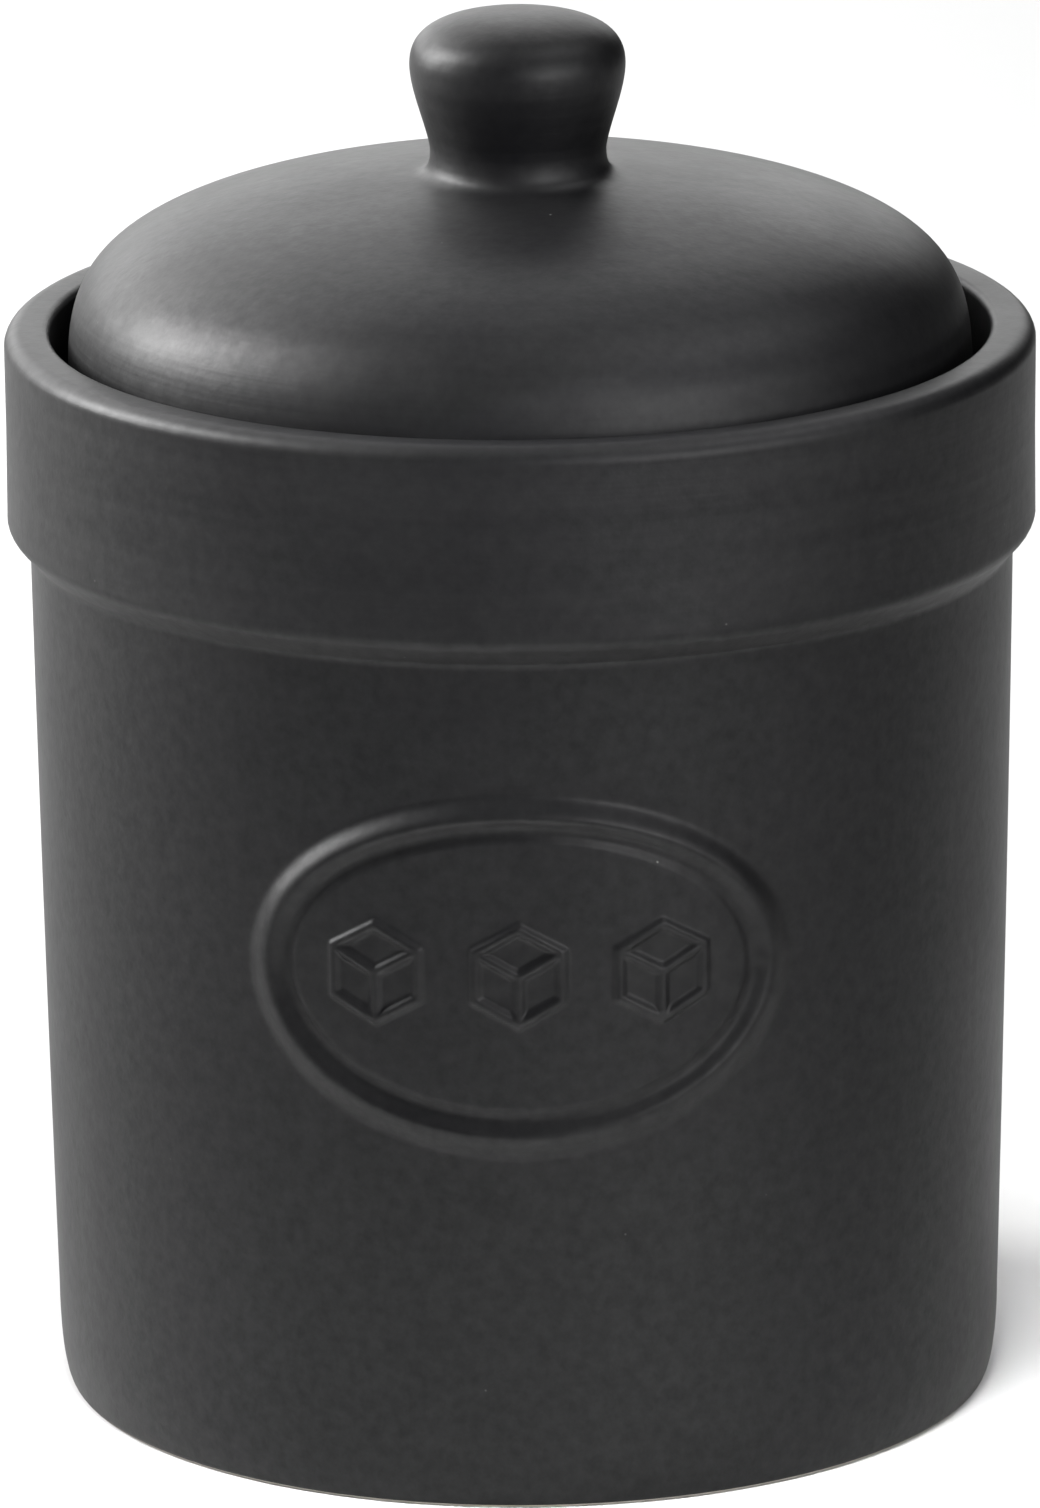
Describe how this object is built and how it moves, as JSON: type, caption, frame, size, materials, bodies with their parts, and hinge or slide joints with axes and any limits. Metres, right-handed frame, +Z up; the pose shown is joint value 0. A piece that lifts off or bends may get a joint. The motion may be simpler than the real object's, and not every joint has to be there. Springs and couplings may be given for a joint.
{
  "type": "sugar canister",
  "caption": "Lidded stoneware sugar canister: a straight-sided jar with a thick collar and an oval plaque, and a domed knob lid with a silicone seal.",
  "frame": {"origin": "centre of the foot ring's underside, on the surface the jar stands on", "axes": "+Z up along the jar's and lid's axis; the oval plaque is on the -Y side, and +X is to the right seen from the front"},
  "size_m": [0.115, 0.115, 0.1569],
  "materials": {
    "glaze": "matt black glaze with a soft sheen",
    "silicone": "translucent white silicone"
  },
  "bodies": {
    "jar": {"jar_body": "glaze", "jar_medallion": "glaze"},
    "seal": {"seal_ring": "silicone"},
    "lid": {"lid_dome": "glaze", "lid_knob": "glaze"}
  },
  "joints": [
    {"name": "lid_lift", "type": "slide", "parent": "jar", "child": "seal", "axis": [0, 0, 1], "range_m": [0, 0.06]},
    {"name": "lid_turn", "type": "hinge", "parent": "seal", "child": "lid", "pos_m": [0, 0, 0.12], "axis": [0, 0, 1], "continuous": true}
  ]
}
